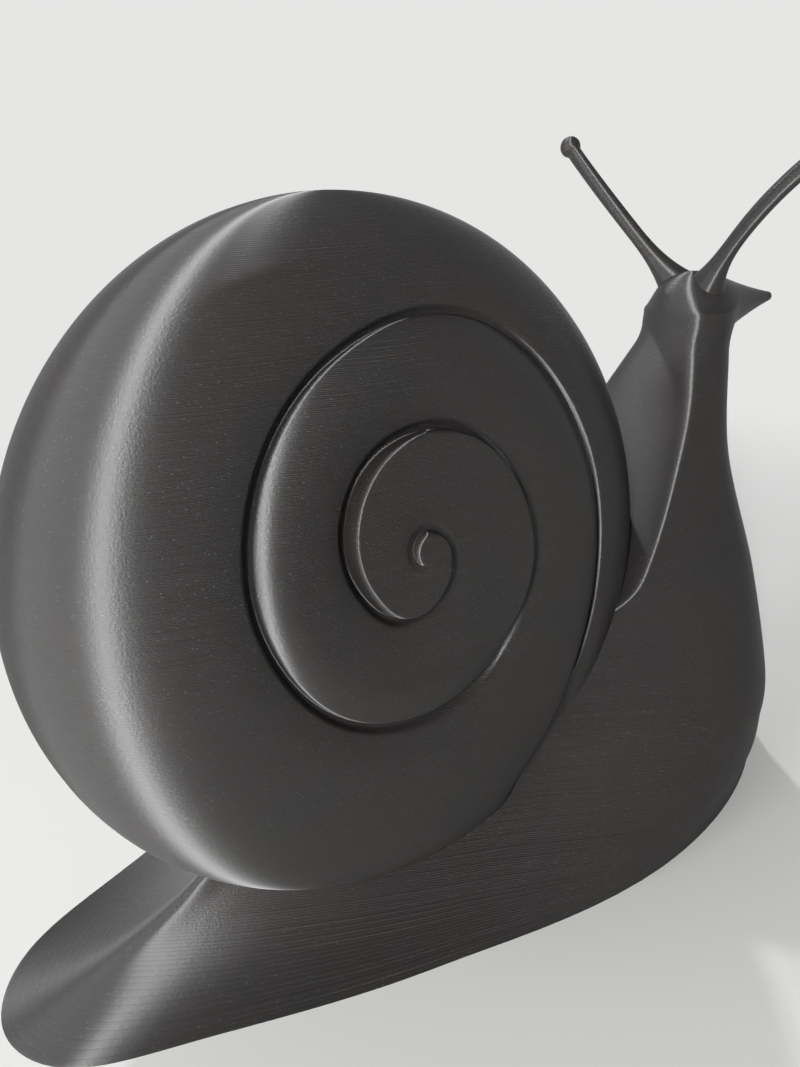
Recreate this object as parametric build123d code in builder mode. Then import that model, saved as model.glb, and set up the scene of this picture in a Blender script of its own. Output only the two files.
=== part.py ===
"""Snail figurine, printed in layers: body, shell and two eye stalks, in millimetres.

The snail faces +X and its left side is +Y. The floor is z = 0, under the middle of the whole figurine.
"""
from build123d import *
import os
from math import cos, hypot, pi, radians, sin, sqrt

os.makedirs("parts", exist_ok=True)

quarter_turn = 90

# Foot, chest and neck
foot_length = 142.3
foot_width = 66.7
neck_height = 76.3

# Level outlines from the floor to the top of the neck. Each row holds shares of neck_height for its height,
# of foot_length for its back end, widest place and front, of foot_width for its half width, and of that
# half width for the flank at three places between the back end and the widest place.
outline_shares = (
    (0.000, 0.000, 0.630, 1.000, 0.500, 0.315, 0.526, 0.792),
    (0.033, 0.098, 0.634, 0.990, 0.502, 0.157, 0.398, 0.702),
    (0.079, 0.168, 0.665, 0.972, 0.504, 0.104, 0.321, 0.642),
    (0.118, 0.204, 0.700, 0.962, 0.504, 0.087, 0.297, 0.604),
    (0.183, 0.263, 0.730, 0.948, 0.495, 0.086, 0.288, 0.585),
    (0.275, 0.361, 0.767, 0.940, 0.467, 0.100, 0.340, 0.620),
    (0.485, 0.572, 0.820, 0.924, 0.350, 0.240, 0.520, 0.810),
    (0.721, 0.715, 0.846, 0.917, 0.209, 0.348, 0.661, 0.899),
    (0.930, 0.832, 0.882, 0.936, 0.1235, 0.348, 0.661, 0.899),
    (1.000, 0.848, 0.890, 0.932, 0.0937, 0.348, 0.661, 0.899),
)
back_steps = 16
front_steps = 8
level_steps = 36
surface_error = 0.03
surface_degree = 3

# Head: a round crown on top of the neck, that runs out into a pointed snout
head_rise = 0.9
crown_lead = 0.25
crown_to_back = 7.0
crown_radius = 6.4
crown_to_cheek = 9.5
cheek_radius = 4.3
snout_length = 14.4
snout_tip_radius = 0.9

# Whole figurine: the tail's end and the snout's tip lie as far behind the origin as before it.
tail_to_crown = outline_shares[-1][2] * foot_length + crown_lead
overall_length = tail_to_crown + crown_to_cheek + snout_length
tail_x = -overall_length / 2
snout_x = overall_length / 2
crown_x = tail_x + tail_to_crown
head_back_x = crown_x - crown_to_back
cheek_x = crown_x + crown_to_cheek
head_axis_z = neck_height + head_rise

# Eye stalks: they lean outwards, bow backwards and upwards, and end in a ball
root_setback = 0.1
root_side = 3.2
root_rise = 4.2
stalk_setback = 3.3
stalk_spread = 23.2
stalk_rise = 22.5
bow_setback = 2.7
bow_rise = 1.7
stalk_root_radius = 3.0
stalk_radius = 1.25
eye_radius = 1.8
tenon_radius = 1.5
tenon_length = 2.2
socket_clearance = 0.1
# Shares of the stalk's length, and of the step from its thin radius to its root radius there
stalk_places_share = (0.0, 0.07, 0.16, 0.34, 0.66, 1.0)
stalk_swell_shares = (1.0, 0.5, 0.21, 0.06, 0.0, 0.0)

# Shell: a thick disc with round edges that leans back from its spiral side, which faces -Y
shell_radius = 48.4
shell_lean = 9.8
shell_lead = 59.6
shell_side = 0.7
rim_to_floor = 2.8
front_thickness = 19.0
back_thickness = 17.0
front_flat_radius = 22.0
back_flat_radius = 14.0
umbilicus_radius = 7.0
umbilicus_depth = 5.0

# Seam between the whorls: its radius at each quarter turn, clockwise from +X and from the middle outwards
pole_height = 3.3
pole_setback = 1.9
seam_first_quarter = -1
seam_radius_shares = (0.062, 0.077, 0.141, 0.240, 0.318, 0.350, 0.438, 0.500, 0.581, 0.647, 0.777)
seam_steps_a_quarter = 3
# Shares of the shell's radius: the seam's depth, its two slopes and how far its tool stands out of the shell
seam_depth_share = 0.031
seam_wall_share = 0.0103
seam_slope_share = 0.134
seam_overrun_share = 0.0207

# Peg under the shell, in a socket in the foot
peg_lead = 21.8
peg_radius = 3.0
peg_depth = 5.0
peg_bury = 8.0


def on_cubic(values, place):
    """Value at a place, counted in steps, on a smooth curve through values that stand a step apart."""
    last = len(values) - 1
    inside = min(max(place, 0), last)
    first = min(int(inside), last - 1)
    part = inside - first
    before, start, end, after = [values[min(max(first + step, 0), last)] for step in (-1, 0, 1, 2)]
    start_slope = (end - before) / 2
    end_slope = (after - start) / 2
    bend = (3 * (end - start) - 2 * start_slope - end_slope) * part**2
    curl = (start_slope + end_slope - 2 * (end - start)) * part**3
    return start + start_slope * part + bend + curl


# Shell, in its own frame: axis towards the spiral side, x forwards and y up
axis_dir = Vector(0, -cos(radians(shell_lean)), sin(radians(shell_lean)))
rise_dir = Vector(0, sin(radians(shell_lean)), cos(radians(shell_lean)))
forward_dir = Vector(1, 0, 0)
shell_centre = Vector(tail_x + shell_lead, shell_side, rim_to_floor + shell_radius * rise_dir.Z)
shell_section = Plane(origin=shell_centre, x_dir=forward_dir, z_dir=-rise_dir)
shell_axis = Axis(shell_centre, axis_dir)


def seam_radius(quarters):
    """Radius of the seam a number of quarter turns past +X."""
    return shell_radius * on_cubic(seam_radius_shares, quarters - seam_first_quarter)


def front_depth(distance):
    """Height of the shell's spiral side over its middle plane, at a distance from its axis."""
    if distance < front_flat_radius:
        return front_thickness
    reach = (distance - front_flat_radius) / (shell_radius - front_flat_radius)
    return front_thickness * sqrt(max(1 - reach**2, 0))


def seam_plane(quarters):
    """Plane across the seam: its origin on the shell's spiral side, x outwards and y out of that side."""
    turn = quarters * pi / 2
    outward = forward_dir * cos(turn) - rise_dir * sin(turn)
    along = forward_dir * -sin(turn) - rise_dir * cos(turn)
    pole = rise_dir * pole_height - forward_dir * pole_setback
    flat_place = pole + outward * seam_radius(quarters)
    height = front_depth(hypot(flat_place.dot(forward_dir), flat_place.dot(rise_dir)))
    return Plane(origin=shell_centre + flat_place + axis_dir * height, x_dir=outward, z_dir=along)


# Tool that cuts the seam: a steep wall inwards and a long slope outwards
seam_steps = (len(seam_radius_shares) - 1) * seam_steps_a_quarter
seam_overrun = seam_overrun_share * shell_radius
with BuildPart() as seam_tool:
    for step in range(seam_steps + 1):
        with BuildSketch(seam_plane(seam_first_quarter + step / seam_steps_a_quarter)):
            with BuildLine():
                Polyline(
                    (-seam_wall_share * shell_radius, seam_overrun),
                    (0, -seam_depth_share * shell_radius),
                    (seam_slope_share * shell_radius, seam_overrun),
                    close=True,
                )
            make_face()
    loft()

with BuildPart() as shell:
    with BuildSketch(shell_section):
        with BuildLine():
            front_rim = EllipticalCenterArc(
                (front_flat_radius, 0),
                shell_radius - front_flat_radius,
                front_thickness,
                start_angle=0,
                arc_size=quarter_turn,
            )
            back_rim = EllipticalCenterArc(
                (back_flat_radius, 0),
                shell_radius - back_flat_radius,
                back_thickness,
                start_angle=-quarter_turn,
                arc_size=quarter_turn,
            )
            Polyline(
                front_rim @ 1,
                (0, front_thickness),
                (0, -back_thickness),
                back_rim @ 0,
            )
        make_face()
    revolve(axis=shell_axis)
    add(seam_tool.part, mode=Mode.SUBTRACT)
    with BuildSketch(shell_section):
        with BuildLine():
            Polyline(
                (0, -back_thickness + umbilicus_depth),
                (umbilicus_radius, -back_thickness),
                (umbilicus_radius, -back_thickness - umbilicus_depth),
                (0, -back_thickness - umbilicus_depth),
                close=True,
            )
        make_face()
    revolve(axis=shell_axis, mode=Mode.SUBTRACT)

# Place where the shell's rim stands over the peg
rim_drop = sqrt(shell_radius**2 - peg_lead**2)
peg_top = shell_centre - rise_dir * rim_drop + forward_dir * peg_lead
peg_foot_z = peg_top.Z - peg_depth

with BuildPart() as shell_with_peg:
    add(shell.part)
    with BuildSketch(Plane.XY.offset(peg_foot_z)):
        with Locations((peg_top.X, peg_top.Y)):
            Circle(peg_radius)
    extrude(amount=peg_depth + peg_bury)
shell_with_peg.part.label = "shell"


def stalk_path(side):
    """Bowed path of the eye stalk on one side, +1 for the left, from its root to its tip."""
    root = Vector(crown_x - root_setback, side * root_side, head_axis_z + root_rise)
    tip = root + Vector(-stalk_setback, side * stalk_spread, stalk_rise)
    middle = (root + tip) * 0.5 + Vector(-bow_setback, 0, bow_rise)
    return ThreePointArc(root, middle, tip)


def build_stalk(side, name):
    """Eye stalk with its ball and, under its flared root, the tenon that its socket takes."""
    path = stalk_path(side)
    with BuildPart() as stalk:
        for place, swell in zip(stalk_places_share, stalk_swell_shares):
            with BuildSketch(Plane(origin=path @ place, z_dir=path % place)):
                Circle(stalk_radius + swell * (stalk_root_radius - stalk_radius))
        loft()
        with Locations(Location(path @ 1)):
            Sphere(eye_radius)
        with BuildSketch(Plane(origin=path @ 0, z_dir=path % 0)):
            Circle(tenon_radius)
        extrude(amount=-tenon_length)
    stalk.part.label = name
    return stalk.part


def build_socket_tool(side):
    """Cylinder that bores the socket of an eye stalk's tenon."""
    path = stalk_path(side)
    with BuildPart() as tool:
        with BuildSketch(Plane(origin=path @ 0, z_dir=path % 0)):
            Circle(tenon_radius + socket_clearance)
        extrude(amount=-tenon_length - socket_clearance)
    return tool.part


left_stalk = build_stalk(1, "left_eye_stalk")
right_stalk = build_stalk(-1, "right_eye_stalk")
socket_tools = [build_socket_tool(side) for side in (1, -1)]


def level_outline(place):
    """Points along the left half of the level outline at a place in the rows, from its back to its front."""
    height, back, widest, front, half_width, *flank_shares = [
        on_cubic(column, place) for column in zip(*outline_shares)
    ]
    back_x, widest_x, front_x = [tail_x + share * foot_length for share in (back, widest, front)]
    reach_y = half_width * foot_width
    # Beyond both ends the flank goes on as its mirror image, which sets its direction there.
    swell_shares = [-flank_shares[0], 0, *flank_shares, 1, flank_shares[-1]]
    swell_steps = len(flank_shares) + 1
    points = []
    for step in range(back_steps):
        part = step / back_steps
        swell = on_cubic(swell_shares, 1 + part * swell_steps)
        points.append(Vector(back_x + part**2 * (widest_x - back_x), swell * reach_y))
    for step in range(front_steps + 1):
        turn = step / front_steps * pi / 2
        points.append(Vector(widest_x + (front_x - widest_x) * sin(turn), reach_y * cos(turn)))
    level = Vector(0, 0, height * neck_height)
    return [point + level for point in points]


# Hull of the foot, chest and neck: two flanks that meet at the keel and the breast, a floor and a top
last_row = len(outline_shares) - 1
flank = Face.make_surface_from_array_of_points(
    [level_outline(last_row * step / level_steps) for step in range(level_steps + 1)],
    tol=surface_error,
    min_deg=surface_degree,
    max_deg=surface_degree,
)
flanks = [flank, flank.mirror(Plane.XZ)]
floor_face = Face(Wire([side.edges().sort_by(Axis.Z)[0] for side in flanks]))
top_face = Face(Wire([side.edges().sort_by(Axis.Z)[-1] for side in flanks]))
hull = Solid(Shell([*flanks, floor_face, top_face]))

with BuildPart() as body:
    add(hull)
    # Head, turned about its own level axis
    with BuildSketch(Plane.XZ):
        with BuildLine():
            crown = Spline(
                (head_back_x, head_axis_z),
                (crown_x, head_axis_z + crown_radius),
                (cheek_x, head_axis_z + cheek_radius),
                (snout_x - snout_tip_radius, head_axis_z + snout_tip_radius),
                tangents=[(0, 1), (snout_x - cheek_x, snout_tip_radius - cheek_radius)],
            )
            snout_tip = CenterArc(
                (snout_x - snout_tip_radius, head_axis_z),
                snout_tip_radius,
                start_angle=0,
                arc_size=quarter_turn,
            )
            Line(snout_tip @ 0, crown @ 0)
        make_face()
    revolve(axis=Axis((0, 0, head_axis_z), (1, 0, 0)))
    # Saddle that takes the shell, with the socket of its peg
    add(shell_with_peg.part, mode=Mode.SUBTRACT)
    with BuildSketch(Plane.XY.offset(peg_foot_z - socket_clearance)):
        with Locations((peg_top.X, peg_top.Y)):
            Circle(peg_radius + socket_clearance)
    extrude(amount=peg_depth, mode=Mode.SUBTRACT)
    # Sockets of the eye stalks
    add([left_stalk, right_stalk, *socket_tools], mode=Mode.SUBTRACT)
body.part.label = "body"

export_step(body.part, "parts/body.step")
export_step(shell_with_peg.part, "parts/shell.step")
export_step(left_stalk, "parts/left_eye_stalk.step")
export_step(right_stalk, "parts/right_eye_stalk.step")
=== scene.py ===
import math

import bmesh
import bpy
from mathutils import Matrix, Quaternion, Vector


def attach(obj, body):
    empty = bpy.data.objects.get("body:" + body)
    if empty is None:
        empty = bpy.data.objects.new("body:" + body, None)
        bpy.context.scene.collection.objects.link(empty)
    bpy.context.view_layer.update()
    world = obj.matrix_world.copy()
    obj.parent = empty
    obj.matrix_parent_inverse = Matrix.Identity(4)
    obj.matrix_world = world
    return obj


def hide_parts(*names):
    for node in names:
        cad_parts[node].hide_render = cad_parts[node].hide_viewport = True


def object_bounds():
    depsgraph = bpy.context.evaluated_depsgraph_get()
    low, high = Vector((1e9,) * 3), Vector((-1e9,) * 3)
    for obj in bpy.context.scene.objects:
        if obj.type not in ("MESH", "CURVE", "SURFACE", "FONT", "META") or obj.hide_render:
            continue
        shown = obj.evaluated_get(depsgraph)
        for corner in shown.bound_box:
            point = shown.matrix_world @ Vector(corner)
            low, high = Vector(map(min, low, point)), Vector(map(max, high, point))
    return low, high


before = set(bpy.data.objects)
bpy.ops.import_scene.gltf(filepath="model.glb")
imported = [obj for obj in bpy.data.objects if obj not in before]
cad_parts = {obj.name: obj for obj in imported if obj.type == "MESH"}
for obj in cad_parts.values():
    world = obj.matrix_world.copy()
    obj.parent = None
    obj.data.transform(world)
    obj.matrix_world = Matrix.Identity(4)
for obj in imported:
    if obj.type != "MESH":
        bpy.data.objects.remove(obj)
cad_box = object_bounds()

bl_info = {
    "name": "Snail figurine",
    "version": (1, 0, 0),
    "blender": (4, 5, 0),
    "location": "View3D > Sidebar > Snail",
    "description": "Builds a snail figurine printed in satin charcoal plastic",
    "category": "Object",
}


def linear(hex_colour):
    """An sRGB colour such as #3a3938 as linear red, green and blue."""
    shares = [int(hex_colour[place:place + 2], 16) / 255 for place in (1, 3, 5)]
    return tuple(
        share / 12.92 if share <= 0.04045 else ((share + 0.055) / 1.055) ** 2.4
        for share in shares
    )


def a_length(name, description, metres):
    return bpy.props.FloatProperty(
        name=name, description=description, default=metres, unit="LENGTH"
    )


def a_point(name, description, metres):
    return bpy.props.FloatVectorProperty(
        name=name, description=description, default=metres, subtype="XYZ", unit="LENGTH"
    )


def a_colour(name, description, hex_colour):
    return bpy.props.FloatVectorProperty(
        name=name, description=description, default=linear(hex_colour), subtype="COLOR"
    )


class SnailBodySizes(bpy.types.PropertyGroup):
    """Foot, neck and head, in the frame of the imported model."""

    tail_place: a_length("Tail", "Where the tail ends, along X", cad_box[0].x)
    snout_place: a_length("Snout", "Where the snout ends, along X", cad_box[1].x)
    foot_length: a_length("Foot length", "Tail to the front of the foot", 0.1423)
    foot_width: a_length("Foot width", "Across the foot on the floor", 0.0667)
    neck_height: a_length("Neck height", "Floor to the top of the neck", 0.0763)
    head_height: a_length("Head height", "Floor to the axis of the head", 0.0772)
    crown_place: a_length("Crown", "Where the head is thickest, along X", 0.0515)
    crown_reach: a_length("Crown reach", "Crown to the back of the head", 0.007)
    crown_radius: a_length("Crown radius", "Half the head's thickness", 0.0064)
    cheek_place: a_length("Cheek", "Where the snout begins, along X", 0.061)
    cheek_radius: a_length("Cheek radius", "Half the thickness at the cheek", 0.0043)
    snout_radius: a_length("Snout radius", "Half the thickness of the snout's tip", 0.0009)
    head_blend: a_length("Head blend", "Width of the soft join of head and neck", 0.004)
    crease_place: a_length("Crease", "Where the crease of the neck's side starts, along X", 0.0232)
    crease_height: a_length("Crease height", "Floor to the start of the crease", 0.0373)
    crease_bend: a_length("Crease bend", "Height above its start where the crease turns up", 0.025)
    crease_round: a_length("Crease round", "How softly the neck's side turns into its back", 0.0020)
    back_share: bpy.props.FloatProperty(
        name="Back", description="How far the neck's back is flattened", default=0.96,
        subtype="FACTOR",
    )


class SnailShellSizes(bpy.types.PropertyGroup):
    """The coiled disc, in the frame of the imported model."""

    centre: a_point("Centre", "Middle of the disc", (-0.0158, 0.0007, 0.0505))
    lean: bpy.props.FloatProperty(
        name="Lean", description="Lean of the disc", default=math.radians(9.8), subtype="ANGLE"
    )
    radius: a_length("Radius", "Middle of the disc to its rim", 0.0484)
    front_thickness: a_length("Front", "Thickness of the coiled side", 0.019)
    back_thickness: a_length("Back", "Thickness of the far side", 0.017)
    front_flat_radius: a_length("Front flat", "Radius of the flat coiled middle", 0.022)
    back_flat_radius: a_length("Back flat", "Radius of the flat middle behind", 0.014)
    pole_height: a_length("Pole height", "Pole of the spiral above the middle", 0.0042)
    pole_setback: a_length("Pole setback", "Pole of the spiral behind the middle", 0.0034)
    whorl_rise: a_length("Whorl rise", "How far each whorl stands above the one outside it", 0.0013)
    seam_depth: a_length("Seam depth", "Depth of the seam below the whorl outside it", 0.0018)
    seam_width: a_length("Seam width", "Width of the seam's floor", 0.0005)
    lip_width: a_length("Lip", "Width of the steep lip outside the seam", 0.0006)
    slope_width: a_length("Slope", "Width of the slope down to the seam", 0.0060)
    shoulder_width: a_length("Shoulder", "Width of the outer whorl's round shoulder", 0.0056)
    edge_width: a_length("Edge", "Width of the inner whorls' steep edge", 0.0006)
    slit_depth: a_length("Slit depth", "How much deeper the seam is where it ends", 0.0030)
    hollow_radius: a_length("Hollow radius", "Radius of the hollow behind", 0.007)
    hollow_depth: a_length("Hollow depth", "Depth of the hollow behind", 0.005)


class SnailStalkSizes(bpy.types.PropertyGroup):
    """The left eye stalk; the right one is its mirror image."""

    root: a_point("Root", "Where the stalk leaves the head", (0.0514, 0.0032, 0.0814))
    tip: a_point("Tip", "Middle of the ball", (0.0481, 0.0264, 0.1039))
    bow: a_point("Bow", "How far the middle bends off the straight line", (-0.0027, 0.0, 0.0017))
    stalk_radius: a_length("Stalk radius", "Half the stalk's thickness", 0.00125)
    root_radius: a_length("Root radius", "Half the thickness at the root", 0.003)
    eye_radius: a_length("Eye radius", "Radius of the ball", 0.0018)


class SnailFinish(bpy.types.PropertyGroup):
    """The plastic, and the table it stands on."""

    layer_height: a_length("Layer height", "Height of one printed layer", 0.0002)
    plastic: a_colour("Plastic", "Colour of the filament", "#202020")
    warm_plastic: a_colour("Warm plastic", "Its warmer patches", "#282422")
    # Painted glints: a lighter colour for grains, standing in for the light that the filament's
    # flakes catch.
    glint_speck: a_colour("Speck", "Grains that catch the light", "#4c4c4c")
    table: a_colour("Table", "The table top", "#bebebc")
    backdrop: a_colour("Backdrop", "The wall behind", "#e6e6e5")


# The body's outline at ten heights: height as a share of the neck's, then back, widest place and
# front as shares of the foot's length, half width as a share of the foot's width, and the flank's
# swell at a quarter, half and three quarters of the way from the back to the widest place.
OUTLINE_SHARES = (
    (0.000, 0.000, 0.630, 1.000, 0.500, 0.315, 0.526, 0.792),
    (0.033, 0.098, 0.634, 0.990, 0.502, 0.157, 0.398, 0.702),
    (0.079, 0.168, 0.665, 0.972, 0.504, 0.104, 0.321, 0.642),
    (0.118, 0.204, 0.700, 0.962, 0.504, 0.087, 0.297, 0.604),
    (0.183, 0.263, 0.730, 0.948, 0.495, 0.086, 0.288, 0.585),
    (0.275, 0.361, 0.767, 0.940, 0.467, 0.100, 0.340, 0.620),
    (0.485, 0.572, 0.820, 0.924, 0.350, 0.240, 0.520, 0.810),
    (0.721, 0.715, 0.846, 0.917, 0.209, 0.348, 0.661, 0.899),
    (0.930, 0.832, 0.882, 0.936, 0.1235, 0.348, 0.661, 0.899),
    (1.000, 0.848, 0.890, 0.932, 0.0937, 0.348, 0.661, 0.899),
)
# The seam's distance from the pole, as a share of the shell's radius, at each eighth of a turn.
SEAM_SHARES = (
    0.000, 0.023, 0.037, 0.048, 0.056, 0.063, 0.067, 0.076, 0.112, 0.169, 0.186, 0.226, 0.278,
    0.322, 0.348, 0.388, 0.435, 0.452, 0.437, 0.449, 0.512, 0.622, 0.675, 0.741, 0.937,
)
SEAM_START = -285
SEAM_STEP = 45
COLUMNS_A_TURN = 400
# The crease on the neck: how far it runs forward as it rises, how much less so above its bend, how
# much faster it runs back below its start, and how softly each of these changes sets in.
CREASE_RUN, BEND_RUN, START_RUN = 0.806, 0.5, 1.8
BEND_SOFTNESS, START_SOFTNESS = 0.003, 0.001
SHARPEST_CREASE = 0.0009
# Each pair: the level where a change of the neck's back starts, and the height that it takes.
SOFTENING = (0.042, 0.030)
BACK_FADES_IN = (0.030, 0.006)
BACK_FADES_OUT = (0.083, 0.009)
# Places in the outline table between which the neck lies beside the head, and the height above the
# floor from which on the rings fan over the head instead of lying level.
NECK_PLACES = (7.0, 9.0)
FAN_HEIGHT = 0.066
# Degrees before its end at which the seam is a slit, how far that spreads, and how long before its
# end the seam fades.
SLIT_TURN, SLIT_SPREAD, FADE_TURN = 24, 14, 10
# Width from which on a whorl has the full seam, and shares of the shell's radius at which its
# shoulder starts to grow from an edge, and over which it grows.
FULL_WIDTH = 0.007
GROWTH_START, GROWTH_RUN = 0.37, 0.09
# The turn from which on the whorls step down in earnest, and how softly that sets in.
STEP_TURN, STEP_SOFTNESS = 60, 40


def on_cubic(values, place):
    """The smooth curve through values that stand a step apart, at place."""
    last = len(values) - 1
    inside = min(max(place, 0), last)
    first = min(int(inside), last - 1)
    part = inside - first
    before, start, end, after = [
        values[min(max(first + step, 0), last)] for step in (-1, 0, 1, 2)
    ]
    start_slope = (end - before) / 2
    end_slope = (after - start) / 2
    bend = (3 * (end - start) - 2 * start_slope - end_slope) * part**2
    curl = (start_slope + end_slope - 2 * (end - start)) * part**3
    return start + start_slope * part + bend + curl


def ease(share):
    """0 up to 0, 1 from 1 on, and a smooth step in between."""
    inside = min(max(share, 0), 1)
    return inside * inside * (3 - 2 * inside)


def soft_above(value, softness):
    """Nearly the value where it is well above 0, and nearly 0 where it is well below."""
    return softness * math.log(1 + math.exp(value / softness))


def soft_least(first, second, width):
    """The smaller of two numbers, rounded off where they are nearly the same."""
    near = min(max(0.5 + (second - first) / (2 * width), 0), 1)
    return second + (first - second) * near - width * near * (1 - near)


def mesh_piece(name, points, faces, material, slot, *nodes):
    """A smooth mesh object that stands for CAD nodes and rides on the body."""
    mesh = bpy.data.meshes.new(name)
    mesh.from_pydata(points, [], faces)
    shape = bmesh.new()
    shape.from_mesh(mesh)
    bmesh.ops.remove_doubles(shape, verts=shape.verts, dist=0.000001)
    bmesh.ops.recalc_face_normals(shape, faces=shape.faces)
    shape.to_mesh(mesh)
    shape.free()
    mesh.polygons.foreach_set("use_smooth", [True] * len(mesh.polygons))
    mesh.materials.append(material)
    piece = bpy.data.objects.new(name, mesh)
    bpy.context.scene.collection.objects.link(piece)
    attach(piece, "root")
    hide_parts(*nodes)
    return piece


def ring_faces(lower, upper):
    """Quads between two closed rings of vertex numbers."""
    count = len(lower)
    return [
        (lower[place], lower[(place + 1) % count], upper[(place + 1) % count], upper[place])
        for place in range(count)
    ]


def strip_faces(first, second):
    """Quads between two open rows of vertex numbers, left out where they shrink to an edge."""
    faces = []
    for place in range(len(first) - 1):
        corners = (first[place], second[place], second[place + 1], first[place + 1])
        kept = tuple(dict.fromkeys(corners))
        if len(kept) > 2:
            faces.append(kept)
    return faces


def zip_faces(first, second, points):
    """Triangles between two open rows that hold different numbers of vertices."""
    faces = []
    one = other = 0
    origin = Vector(points[first[0]])

    def reach(row, place):
        return (Vector(points[row[place]]) - origin).length

    while one < len(first) - 1 or other < len(second) - 1:
        if other == len(second) - 1:
            step_first = True
        elif one == len(first) - 1:
            step_first = False
        else:
            step_first = reach(first, one + 1) < reach(second, other + 1)
        if step_first:
            faces.append((first[one], second[other], first[one + 1]))
            one += 1
        else:
            faces.append((first[one], second[other], second[other + 1]))
            other += 1
    return [face for face in faces if len(set(face)) == len(face)]


def add_node(tree, kind, settings=None, inputs=None, links=None):
    """A node with its settings, its input values and its links from other nodes' outputs."""
    node = tree.nodes.new(kind)
    for name, value in (settings or {}).items():
        setattr(node, name, value)
    for name, value in (inputs or {}).items():
        node.inputs[name].default_value = value
    for name, (source, output) in (links or {}).items():
        tree.links.new(source.outputs[output], node.inputs[name])
    return node


def new_material(name):
    material = bpy.data.materials.new(name)
    material.use_nodes = True
    material.node_tree.nodes.clear()
    return material


def printed_plastic(name, finish):
    """Polylactide filament, satin charcoal, laid down in level layers by a hot nozzle.

    Each layer is a rounded bead, so the eye sees fine level ridges and a highlight that is narrow
    along them and runs far across them. Between them are a fine grain, warmer patches and a few
    specks painted lighter in the colour, as painted glints of flakes that catch the light.
    """
    material = new_material(name)
    tree = material.node_tree
    place = add_node(tree, "ShaderNodeTexCoord")
    surface = add_node(tree, "ShaderNodeNewGeometry")
    # The direction of a layer: level, and across the slope. A hair off upright, so that a level
    # face has one too.
    along = add_node(
        tree, "ShaderNodeVectorMath", {"operation": "CROSS_PRODUCT"}, {1: (0.001, 0, 1)},
        {0: (surface, "Normal")},
    )
    axes = add_node(tree, "ShaderNodeSeparateXYZ", links={"Vector": (place, "Object")})
    layers = add_node(
        tree, "ShaderNodeMath", {"operation": "DIVIDE"},
        {1: finish.layer_height}, {0: (axes, "Z")},
    )
    # Height of a bead's round outside at its share of the layer.
    share = add_node(tree, "ShaderNodeMath", {"operation": "FRACT"}, links={0: (layers, 0)})
    left = add_node(
        tree, "ShaderNodeMath", {"operation": "SUBTRACT"}, {0: 1.0}, {1: (share, 0)},
    )
    chord = add_node(
        tree, "ShaderNodeMath", {"operation": "MULTIPLY"}, links={0: (share, 0), 1: (left, 0)},
    )
    bead = add_node(tree, "ShaderNodeMath", {"operation": "SQRT"}, links={0: (chord, 0)})
    number = add_node(tree, "ShaderNodeMath", {"operation": "FLOOR"}, links={0: (layers, 0)})
    wander = add_node(
        tree, "ShaderNodeTexWhiteNoise", {"noise_dimensions": "1D"}, links={"W": (number, 0)},
    )
    ridge = add_node(
        tree, "ShaderNodeMath", {"operation": "MULTIPLY_ADD"}, {1: 0.3},
        {0: (wander, "Value"), 2: (bead, 0)},
    )
    # Grain a third of a millimetre across, coarser than the real one, so that it shows.
    grain = add_node(
        tree, "ShaderNodeTexNoise", None,
        {"Scale": 2800.0, "Detail": 2.0, "Roughness": 0.6}, {"Vector": (place, "Object")},
    )
    layer_bump = add_node(
        tree, "ShaderNodeBump", None, {"Strength": 1.0, "Distance": 0.00008},
        {"Height": (ridge, 0)},
    )
    grain_bump = add_node(
        tree, "ShaderNodeBump", None, {"Strength": 1.0, "Distance": 0.00002},
        {"Height": (grain, "Fac"), "Normal": (layer_bump, "Normal")},
    )
    # Warmer patches about 17 mm across.
    patches = add_node(
        tree, "ShaderNodeTexNoise", None, {"Scale": 60.0, "Detail": 3.0},
        {"Vector": (place, "Object")},
    )
    body_colour = add_node(
        tree, "ShaderNodeMix", {"data_type": "RGBA"},
        {6: (*finish.plastic, 1), 7: (*finish.warm_plastic, 1)}, {0: (patches, "Fac")},
    )
    # Painted glints: specks about 0.2 mm across, three quarters of a millimetre apart, painted
    # lighter in the colour to stand in for flakes that catch the light.
    glint_cells = add_node(
        tree, "ShaderNodeTexVoronoi", None, {"Scale": 1300.0}, {"Vector": (place, "Object")},
    )
    painted_glint_share = add_node(
        tree, "ShaderNodeMapRange", None, {"From Min": 0.16, "From Max": 0.06},
        {"Value": (glint_cells, "Distance")},
    )
    # The painted glints are mixed into the plastic's colour here.
    colour = add_node(
        tree, "ShaderNodeMix", {"data_type": "RGBA"}, {7: (*finish.glint_speck, 1)},
        {0: (painted_glint_share, "Result"), 6: (body_colour, 2)},
    )
    shader = add_node(
        tree, "ShaderNodeBsdfPrincipled", None,
        {"IOR": 1.5, "Specular IOR Level": 1.0, "Roughness": 0.56, "Anisotropic": 1.0,
         "Anisotropic Rotation": 0.25},
        {"Base Color": (colour, 2), "Normal": (grain_bump, "Normal"), "Tangent": (along, 0)},
    )
    add_node(tree, "ShaderNodeOutputMaterial", links={"Surface": (shader, "BSDF")})
    return material


def crease_at(sizes, level):
    """Where the crease on the neck's side lies, along X, at a level."""
    over = level - sizes.crease_height
    bend = BEND_RUN * soft_above(over - sizes.crease_bend, BEND_SOFTNESS)
    under = START_RUN * soft_above(-over, START_SOFTNESS)
    return sizes.crease_place + CREASE_RUN * over - bend - under


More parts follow.
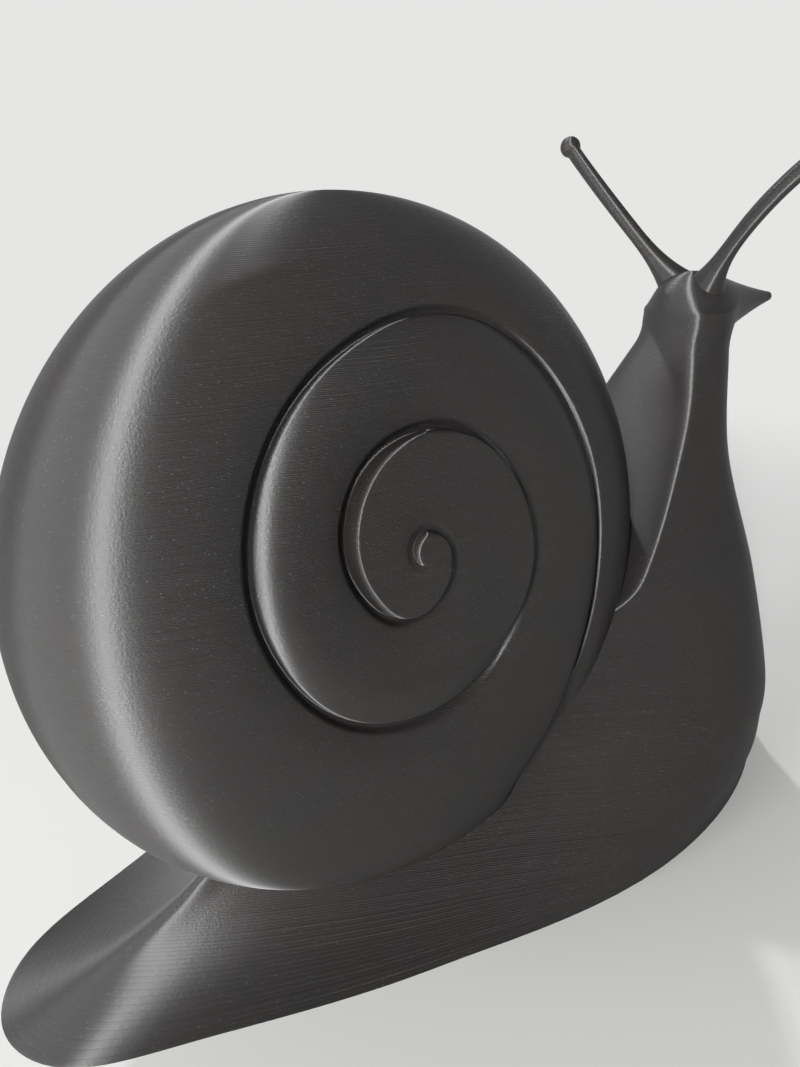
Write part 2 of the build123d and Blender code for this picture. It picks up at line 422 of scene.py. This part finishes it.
def level_outline(sizes, place):
    """The closed outline of foot and neck at a place in the outline table."""
    height, back, widest, front, half_width, *flank_shares = [
        on_cubic(column, place) for column in zip(*OUTLINE_SHARES)
    ]
    back_x, widest_x, front_x = [
        sizes.tail_place + share * sizes.foot_length for share in (back, widest, front)
    ]
    reach = half_width * sizes.foot_width
    level = height * sizes.neck_height
    swell_shares = (-flank_shares[0], 0, *flank_shares, 1, flank_shares[-1])
    swell_steps = len(flank_shares) + 1
    crease = (crease_at(sizes, level) - back_x) / (widest_x - back_x)
    crease_part = math.sqrt(min(max(crease, 0.2), 0.85))
    # The steps stand close together just behind the crease.
    hidden_steps, back_steps, chest_steps, front_steps = 12, 20, 20, 28
    back_part = 0.72 * crease_part
    parts = [back_part * step / hidden_steps for step in range(hidden_steps)]
    parts += [
        back_part + (crease_part - back_part) * math.sin(math.radians(90) * step / back_steps)
        for step in range(back_steps)
    ]
    parts += [
        crease_part + (1 - crease_part) * step / chest_steps for step in range(chest_steps + 1)
    ]
    left = []
    for part in parts:
        swell = on_cubic(swell_shares, 1 + part * swell_steps)
        left.append((back_x + part**2 * (widest_x - back_x), swell * reach))
    for step in range(1, front_steps + 1):
        turn = math.radians(90) * step / front_steps
        left.append((widest_x + (front_x - widest_x) * math.sin(turn), reach * math.cos(turn)))
    left[0] = (left[0][0], 0.0)
    left[-1] = (left[-1][0], 0.0)
    right = [(x, -y) for x, y in reversed(left[1:-1])]
    return level, left + right


def head_radius(sizes, place):
    """Radius of the head at a place along X, from the crown to the snout's tip."""
    spots = (
        (sizes.crown_place, sizes.crown_radius, 0.0),
        (sizes.cheek_place, sizes.cheek_radius, -0.30),
        (sizes.snout_place - sizes.snout_radius, sizes.snout_radius, -0.20),
    )
    for (start, low, rise), (end, high, fall) in zip(spots, spots[1:]):
        if place <= end:
            span = end - start
            part = (place - start) / span
            return (
                low * (1 + 2 * part) * (1 - part) ** 2
                + rise * span * part * (1 - part) ** 2
                + high * (3 - 2 * part) * part**2
                + fall * span * (part - 1) * part**2
            )
    over = min(place - spots[-1][0], sizes.snout_radius)
    return math.sqrt(sizes.snout_radius**2 - over**2)


class HeadAndNeck:
    """How far a point lies outside the head and the neck, joined softly."""

    def __init__(self, sizes):
        self.sizes = sizes
        self.steps = 120
        self.rows = []
        first, last = NECK_PLACES
        for step in range(self.steps + 1):
            place = first + (last - first) * step / self.steps
            shares = [on_cubic(column, place) for column in zip(*OUTLINE_SHARES)]
            self.rows.append((
                shares[0] * sizes.neck_height,
                *(sizes.tail_place + share * sizes.foot_length for share in shares[1:4]),
                shares[4] * sizes.foot_width,
            ))

    def row_at(self, height):
        low, high = 0, self.steps
        while high - low > 1:
            middle = (low + high) // 2
            if self.rows[middle][0] <= height:
                low = middle
            else:
                high = middle
        start, end = self.rows[low], self.rows[high]
        part = min(max((height - start[0]) / (end[0] - start[0]), 0), 1)
        return [a + (b - a) * part for a, b in zip(start, end)]

    def outside(self, point):
        sizes = self.sizes
        x, y, z = point
        _, back, widest, front, half_width = self.row_at(z)
        reach = widest - back if x < widest else front - widest
        neck = (math.hypot((x - widest) / reach, y / half_width) - 1) * half_width
        neck = max(neck, z - sizes.neck_height)
        around = math.hypot(y, z - sizes.head_height)
        if x < sizes.crown_place:
            reach = (x - sizes.crown_place) / sizes.crown_reach
            head = (math.hypot(reach, around / sizes.crown_radius) - 1) * sizes.crown_radius
        elif x < sizes.snout_place:
            head = around - head_radius(sizes, x)
        else:
            head = math.hypot(around, x - sizes.snout_place)
        return soft_least(head, neck, sizes.head_blend)


def flat_backed(sizes, point):
    """A point of the neck, moved forward to its flat back where it lies behind the crease."""
    x, y, z = point
    behind = max(crease_at(sizes, z) - x, 0)
    softness = SHARPEST_CREASE + sizes.crease_round * ease((z - SOFTENING[0]) / SOFTENING[1])
    forward = sizes.back_share * behind**2 / (behind + softness)
    fade_in = ease((z - BACK_FADES_IN[0]) / BACK_FADES_IN[1])
    fade_out = ease((BACK_FADES_OUT[0] - z) / BACK_FADES_OUT[1])
    return x + forward * fade_in * fade_out, y, z


def body_mesh(sizes):
    """Level rings up the foot and neck, then rings that fan over the head to the snout."""
    # The fan turns about a line under the snout. Its spine is the curve on which its rings start.
    pivot = Vector((0.0725, 0.0, FAN_HEIGHT))
    spine_low, spine_high = 0.021, sizes.head_height - FAN_HEIGHT
    low, high = NECK_PLACES
    heights = [row[0] for row in OUTLINE_SHARES]
    for _ in range(40):
        middle = (low + high) / 2
        if on_cubic(heights, middle) * sizes.neck_height < FAN_HEIGHT:
            low = middle
        else:
            high = middle
    top_place = low
    level_rings = 190
    points, rings = [], []
    for step in range(level_rings + 1):
        level, outline = level_outline(sizes, top_place * step / level_rings)
        rings.append(range(len(points), len(points) + len(outline)))
        points += [(x, y, level) for x, y in outline]
    spine = pivot.x - spine_low
    angles = [math.atan2(y, -(x - spine)) for x, y in level_outline(sizes, top_place)[1]]
    form = HeadAndNeck(sizes)

    def cast(start, direction):
        near, far = 0.0, 0.03
        for _ in range(22):
            middle = (near + far) / 2
            if form.outside(start + direction * middle) < 0:
                near = middle
            else:
                far = middle
        return start + direction * near

    fan_rings = 90
    for step in range(1, fan_rings + 1):
        lift = math.radians(90) * step / fan_rings
        out = Vector((-math.cos(lift), 0, math.sin(lift)))
        reach = spine_low + (spine_high - spine_low) * lift / math.radians(90)
        start = pivot + out * reach
        rings.append(range(len(points), len(points) + len(angles)))
        for angle in angles:
            side = Vector((0, math.sin(angle), 0))
            points.append(tuple(cast(start, out * math.cos(angle) + side)))
    tip_rings = 14
    for step in range(1, tip_rings):
        share = math.sin(math.radians(90) * step / tip_rings)
        place = pivot.x + (sizes.snout_place - pivot.x) * share
        start = Vector((place, 0, sizes.head_height))
        rings.append(range(len(points), len(points) + len(angles)))
        for angle in angles:
            points.append(tuple(cast(start, Vector((0, math.sin(angle), math.cos(angle))))))
    points = [flat_backed(sizes, point) for point in points]
    faces = []
    for lower, upper in zip(rings, rings[1:]):
        faces += ring_faces(lower, upper)
    points.append((sizes.snout_place, 0, sizes.head_height))
    last = rings[-1]
    for place in range(len(last)):
        faces.append((last[place], last[(place + 1) % len(last)], len(points) - 1))
    # The sole: strips across the floor, from the tail to the front.
    sole = rings[0]
    half = len(sole) // 2
    for place in range(half):
        corners = (sole[place], sole[-place], sole[-place - 1], sole[place + 1])
        kept = tuple(dict.fromkeys(corners))
        if len(kept) > 2:
            faces.append(kept)
    return points, faces


def seam_radius(sizes, turn):
    """Distance of the seam from the pole at a turn in degrees, clockwise from the front."""
    return on_cubic(SEAM_SHARES, (turn - SEAM_START) / SEAM_STEP) * sizes.radius


def shell_mesh(sizes):
    """The coiled side, column by column along its seam, then the rim and the side behind."""
    forward = Vector((1, 0, 0))
    rise = Vector((0, math.sin(sizes.lean), math.cos(sizes.lean)))
    axis = Vector((0, -math.cos(sizes.lean), math.sin(sizes.lean)))
    centre = Vector(sizes.centre)
    pole = Vector((-sizes.pole_setback, sizes.pole_height))
    front_run = sizes.radius - sizes.front_flat_radius
    back_run = sizes.radius - sizes.back_flat_radius
    seam_end = SEAM_START + SEAM_STEP * (len(SEAM_SHARES) - 1)
    step_turn = 360 / COLUMNS_A_TURN
    points = []

    def add(flat, height):
        points.append(tuple(centre + forward * flat.x + rise * flat.y + axis * height))
        return len(points) - 1

    def ray(turn):
        angle = math.radians(turn)
        return Vector((math.cos(angle), -math.sin(angle)))

    def front_height(flat):
        over = max(flat.length - sizes.front_flat_radius, 0) / front_run
        return sizes.front_thickness * math.sqrt(max(1 - over**2, 0))

    def inner_radius(turn):
        return seam_radius(sizes, turn - 360) if turn - 360 > SEAM_START else 0.0

    def lift(turn):
        """How far the whorl at a turn stands above the outermost one."""
        eased = STEP_TURN + soft_above(turn - STEP_TURN, STEP_SOFTNESS)
        return sizes.whorl_rise * (seam_end - eased) / 360

    def fade(turn):
        """1 along the seam, and down to 0 at its end."""
        return ease((seam_end - turn) / FADE_TURN)

    def seam_slope(turn):
        """Depth of the slope outside the seam at a turn: it deepens to a slit before it ends."""
        width = seam_radius(sizes, turn) - inner_radius(turn)
        slit = sizes.slit_depth * math.exp(-((turn - seam_end + SLIT_TURN) / SLIT_SPREAD) ** 2)
        return (sizes.seam_depth * ease(width / FULL_WIDTH) + slit) * fade(turn)

    def seam_wall(turn):
        """Height of the wall inside the seam at a turn."""
        return seam_slope(turn) + (lift(turn) - lift(turn + 360)) * fade(turn)

    def rim_distance(direction):
        along = pole.dot(direction)
        return -along + math.sqrt(along**2 - pole.length_squared + sizes.radius**2)

    def shoulder(turn, depth, reach, width):
        """Depth of a whorl's shoulder at a reach from the seam: steep, and round further out."""
        grown = ease((seam_radius(sizes, turn) / sizes.radius - GROWTH_START) / GROWTH_RUN)
        full_run = sizes.edge_width + grown * (sizes.shoulder_width - sizes.edge_width)
        run = min(full_run, 0.6 * width)
        foot_run = min(sizes.edge_width / 2, 0.2 * width)
        round_share = max(1 - reach / run, 0) ** 2
        foot_share = max(1 - reach / foot_run, 0) ** 2
        return depth * (0.75 * round_share + 0.25 * foot_share)

    def slope(depth, reach, width):
        """Depth of the next whorl beside a seam, at a reach from the seam outwards."""
        long_share = max(1 - reach / min(sizes.slope_width, 0.6 * width), 0) ** 2
        floor_run = min(sizes.seam_width, 0.1 * width)
        lip_share = 1 - ease((reach - floor_run) / min(sizes.lip_width, 0.1 * width))
        return depth * (0.5 * long_share + 0.5 * lip_share)

    def spread(part):
        """Steps that stand close together at both ends of a whorl."""
        return 0.75 * ease(part) + 0.25 * part

    strip_steps = 34
    outer_steps = 56
    back_steps = 34
    hollow_steps = 17
    hollow_reach = sizes.hollow_radius * 1.25
    count = round((seam_end - SEAM_START) / step_turn)
    pole_vertex = add(pole, front_height(pole) + lift(SEAM_START))
    seam_rows = {}
    strips = {}
    for number in range(1, count):
        turn = SEAM_START + number * step_turn
        direction = ray(turn)
        inner, outer = inner_radius(turn), seam_radius(sizes, turn)
        width = outer - inner
        own_depth = seam_wall(turn)
        inner_depth = seam_slope(turn - 360) if inner else 0
        row = [seam_rows[number - COLUMNS_A_TURN] if number > COLUMNS_A_TURN else pole_vertex]
        for step in range(1, strip_steps + 1):
            reach = width * spread(step / strip_steps)
            flat = pole + direction * (inner + reach)
            sunk = shoulder(turn, own_depth, width - reach, width)
            sunk += slope(inner_depth, reach, width)
            row.append(add(flat, front_height(flat) + lift(turn) - sunk))
        seam_rows[number] = row[-1]
        strips[number] = row
    faces = []
    for number in range(1, count - 1):
        faces += strip_faces(strips[number + 1], strips[number])
    # The body whorl, from the last turn of the seam over the rim to the hollow behind.
    outer_rows = {}
    for number in range(count - COLUMNS_A_TURN, count):
        turn = SEAM_START + number * step_turn
        direction = ray(turn)
        start = seam_radius(sizes, turn)
        end = max(rim_distance(direction), start + 0.0002)
        depth = seam_slope(turn)
        level = lift(turn + 360) * fade(turn)
        row = [seam_rows[number]]
        for step in range(1, outer_steps + 1):
            reach = (end - start) * spread(step / outer_steps)
            flat = pole + direction * (start + reach)
            sunk = slope(depth, reach, end - start) - level * (1 - ease(step / outer_steps))
            row.append(add(flat, front_height(flat) - sunk))
        rim = (pole + direction * end).normalized()
        for step in range(1, back_steps + 1):
            angle = math.radians(90) * (1 - step / back_steps)
            flat = rim * (sizes.back_flat_radius + back_run * math.sin(angle))
            row.append(add(flat, -sizes.back_thickness * math.cos(angle)))
        for step in range(1, hollow_steps):
            away = sizes.back_flat_radius * (1 - step / hollow_steps)
            sunk = ease((hollow_reach - away) / hollow_reach)
            row.append(add(rim * away, -sizes.back_thickness + sizes.hollow_depth * sunk))
        outer_rows[number] = row
    hollow = add(Vector((0, 0)), sizes.hollow_depth - sizes.back_thickness)
    first, last = count - COLUMNS_A_TURN, count - 1
    for row in outer_rows.values():
        row.append(hollow)
    for number in range(first, last):
        faces += strip_faces(outer_rows[number + 1], outer_rows[number])
    # Where the seam has run out, the last column of two whorls meets the first of one.
    rim_place = outer_steps
    long_row = strips[last] + outer_rows[last][1:rim_place + 1]
    faces += zip_faces(long_row, outer_rows[first][:rim_place + 1], points)
    faces += strip_faces(outer_rows[first][rim_place:], outer_rows[last][rim_place:])
    return points, faces


def stalk_mesh(sizes, side):
    """Rings along the bowed stalk, from inside the head to the far side of the ball."""
    mirror = Vector((1, side, 1))
    root, tip, bow = [Vector(value) * mirror for value in (sizes.root, sizes.tip, sizes.bow)]
    through = (root + tip) / 2 + bow
    knee = 2 * through - (root + tip) / 2
    rings_along, rings_around = 110, 40
    length = (tip - root).length
    under = 0.0022 / length
    over = sizes.eye_radius / length
    points, rings = [], []
    for number in range(rings_along + 1):
        part = number / rings_along
        along = -under + (1 + over + under) * (1 - math.cos(math.radians(180) * part)) / 2
        share = min(along, 1.0)
        middle = root * (1 - share) ** 2 + knee * 2 * share * (1 - share) + tip * share**2
        heading = ((knee - root) * (1 - share) + (tip - knee) * share).normalized()
        if along > 1:
            middle = middle + heading * (along - 1) * length
        swell = max(1 - along / 0.34, 0) ** 3
        radius = sizes.stalk_radius + (sizes.root_radius - sizes.stalk_radius) * min(swell, 1.3)
        off = (along - 1) * length
        ball = math.sqrt(max(sizes.eye_radius**2 - off**2, 0))
        if along > 1:
            radius = ball
        else:
            radius = -soft_least(-radius, -ball, 0.0008)
        if number == rings_along:
            points.append(tuple(middle))
            break
        across = heading.cross(Vector((1, 0, 0))).normalized()
        upward = across.cross(heading)
        rings.append(range(len(points), len(points) + rings_around))
        for step in range(rings_around):
            turn = math.radians(360) * step / rings_around
            spoke = across * math.cos(turn) + upward * math.sin(turn)
            points.append(tuple(middle + spoke * radius))
    faces = []
    for lower, upper in zip(rings, rings[1:]):
        faces += ring_faces(lower, upper)
    last = rings[-1]
    for place in range(rings_around):
        faces.append((last[place], last[(place + 1) % rings_around], len(points) - 1))
    faces.append(tuple(reversed(rings[0])))
    return points, faces


class SNAIL_OT_add_body(bpy.types.Operator):
    """Adds the foot, tail, chest, neck and head in one piece"""

    bl_idname = "snail.add_body"
    bl_label = "Add body"

    def execute(self, context):
        points, faces = body_mesh(context.scene.snail_body)
        plastic = printed_plastic("body_printed_polylactide", context.scene.snail_finish)
        mesh_piece("snail_body", points, faces, plastic, "body_plastic", "body")
        return {"FINISHED"}


class SNAIL_OT_add_shell(bpy.types.Operator):
    """Adds the coiled shell"""

    bl_idname = "snail.add_shell"
    bl_label = "Add shell"

    def execute(self, context):
        points, faces = shell_mesh(context.scene.snail_shell)
        plastic = printed_plastic("shell_printed_polylactide", context.scene.snail_finish)
        mesh_piece("snail_shell", points, faces, plastic, "shell_plastic", "shell")
        return {"FINISHED"}


class SNAIL_OT_add_stalks(bpy.types.Operator):
    """Adds the two eye stalks with their balls"""

    bl_idname = "snail.add_stalks"
    bl_label = "Add eye stalks"

    def execute(self, context):
        sizes = context.scene.snail_stalks
        plastic = printed_plastic("stalk_printed_polylactide", context.scene.snail_finish)
        for name, side in (("left_eye_stalk", 1), ("right_eye_stalk", -1)):
            points, faces = stalk_mesh(sizes, side)
            mesh_piece(f"snail_{name}", points, faces, plastic, "body_plastic", name)
        return {"FINISHED"}


class SNAIL_OT_add_stage(bpy.types.Operator):
    """Adds the table, the light and the camera"""

    bl_idname = "snail.add_stage"
    bl_label = "Add stage"

    def execute(self, context):
        scene = context.scene
        finish = scene.snail_finish
        # Laminate with a matt pressed surface: even, pale, and with hardly any gloss.
        table = new_material("matt_table_laminate")
        tree = table.node_tree
        shader = add_node(
            tree, "ShaderNodeBsdfPrincipled", None,
            {"Base Color": (*finish.table, 1), "Roughness": 0.7, "Specular IOR Level": 0.1},
        )
        # Away from the figurine the table runs out into the pale wall, for the camera alone.
        place = add_node(tree, "ShaderNodeTexCoord")
        distance = add_node(
            tree, "ShaderNodeVectorMath", {"operation": "LENGTH"}, links={0: (place, "Object")},
        )
        beyond = add_node(
            tree, "ShaderNodeMapRange", {"interpolation_type": "SMOOTHSTEP"},
            {"From Min": 0.13, "From Max": 0.30}, {"Value": (distance, "Value")},
        )
        path = add_node(tree, "ShaderNodeLightPath")
        share = add_node(
            tree, "ShaderNodeMath", {"operation": "MULTIPLY"},
            links={0: (beyond, "Result"), 1: (path, "Is Camera Ray")},
        )
        wall = add_node(tree, "ShaderNodeEmission", None, {"Color": (*finish.backdrop, 1)})
        mix = add_node(
            tree, "ShaderNodeMixShader", links={0: (share, 0), 1: (shader, 0), 2: (wall, 0)},
        )
        add_node(tree, "ShaderNodeOutputMaterial", links={"Surface": (mix, 0)})
        reach = 4.0
        mesh = bpy.data.meshes.new("table")
        corners = [(-reach, -reach, 0), (reach, -reach, 0), (reach, reach, 0), (-reach, reach, 0)]
        mesh.from_pydata(corners, [], [(0, 1, 2, 3)])
        mesh.materials.append(table)
        floor = bpy.data.objects.new("table", mesh)
        scene.collection.objects.link(floor)
        world = bpy.data.worlds.new("pale_room")
        scene.world = world
        world.use_nodes = True
        tree = world.node_tree
        tree.nodes.clear()
        path = add_node(tree, "ShaderNodeLightPath")
        # The room is bright behind the figurine and dark on the side of whoever looks at it.
        place = add_node(tree, "ShaderNodeTexCoord")
        axes = add_node(tree, "ShaderNodeSeparateXYZ", links={"Vector": (place, "Generated")})
        glow = add_node(
            tree, "ShaderNodeMapRange", {"interpolation_type": "SMOOTHSTEP"},
            {"From Min": -0.5, "From Max": 0.6, "To Min": 0.09, "To Max": 0.65},
            {"Value": (axes, "Y")},
        )
        room = add_node(
            tree, "ShaderNodeBackground", None, {"Color": (0.95, 0.98, 1.0, 1)},
            {"Strength": (glow, "Result")},
        )
        wall = add_node(
            tree, "ShaderNodeBackground", None, {"Color": (*finish.backdrop, 1), "Strength": 1.0},
        )
        mix = add_node(
            tree, "ShaderNodeMixShader",
            links={0: (path, "Is Camera Ray"), 1: (room, 0), 2: (wall, 0)},
        )
        add_node(tree, "ShaderNodeOutputWorld", links={"Surface": (mix, 0)})
        middle = Vector((-0.01, 0, 0.045))
        # Each lamp: its azimuth as seen from the figurine, its elevation, width, height and power.
        lamps = (
            ("window", -55, 20, 0.10, 0.60, 16.5),
            ("left_window", -97, 28, 0.90, 0.30, 6.8),
            ("far_window", 155, 49, 0.05, 0.05, 4.4),
        )
        lamp_distance = 1.0
        for name, azimuth, elevation, width, height, power in lamps:
            side, lift = math.radians(azimuth), math.radians(elevation)
            place = middle + lamp_distance * Vector((
                math.sin(side) * math.cos(lift), -math.cos(side) * math.cos(lift), math.sin(lift)
            ))
            light = bpy.data.lights.new(name, "AREA")
            light.shape = "RECTANGLE"
            light.size, light.size_y = width, height
            light.energy = power
            lamp = bpy.data.objects.new(name, light)
            lamp.location = place
            lamp.rotation_mode = "QUATERNION"
            lamp.rotation_quaternion = (middle - Vector(place)).to_track_quat("-Z", "Y")
            scene.collection.objects.link(lamp)
        lens = bpy.data.cameras.new("camera")
        lens.sensor_width = 36.0
        lens.lens = 27.0
        lens.clip_start = 0.01
        camera = bpy.data.objects.new("camera", lens)
        place = Vector((-0.0701, -0.0886, 0.0986))
        aim = Vector((-0.0188, -0.0126, 0.0587))
        roll = math.radians(-2.1)
        camera.location = place
        camera.rotation_mode = "QUATERNION"
        camera.rotation_quaternion = (aim - place).to_track_quat("-Z", "Y") @ Quaternion(
            (0, 0, 1), roll
        )
        scene.collection.objects.link(camera)
        scene.camera = camera
        scene.view_settings.view_transform = "Standard"
        return {"FINISHED"}


OPERATORS = (
    SNAIL_OT_add_body, SNAIL_OT_add_shell, SNAIL_OT_add_stalks, SNAIL_OT_add_stage,
)
GROUPS = {
    "snail_body": SnailBodySizes,
    "snail_shell": SnailShellSizes,
    "snail_stalks": SnailStalkSizes,
    "snail_finish": SnailFinish,
}


class SNAIL_PT_panel(bpy.types.Panel):
    """Lists the steps that build the figurine"""

    bl_label = "Snail figurine"
    bl_space_type = "VIEW_3D"
    bl_region_type = "UI"
    bl_category = "Snail"

    def draw(self, context):
        for operator in OPERATORS:
            self.layout.operator(operator.bl_idname)
        for name, group in GROUPS.items():
            box = self.layout.box()
            for size in group.__annotations__:
                box.prop(getattr(context.scene, name), size)


def register():
    for name, group in GROUPS.items():
        bpy.utils.register_class(group)
        setattr(bpy.types.Scene, name, bpy.props.PointerProperty(type=group))
    for shown in (*OPERATORS, SNAIL_PT_panel):
        bpy.utils.register_class(shown)


def unregister():
    for shown in reversed((*OPERATORS, SNAIL_PT_panel)):
        bpy.utils.unregister_class(shown)
    for name, group in GROUPS.items():
        delattr(bpy.types.Scene, name)
        bpy.utils.unregister_class(group)


def main():
    register()
    bpy.ops.snail.add_body()
    bpy.ops.snail.add_shell()
    bpy.ops.snail.add_stalks()
    bpy.ops.snail.add_stage()


if __name__ == "__main__":
    main()
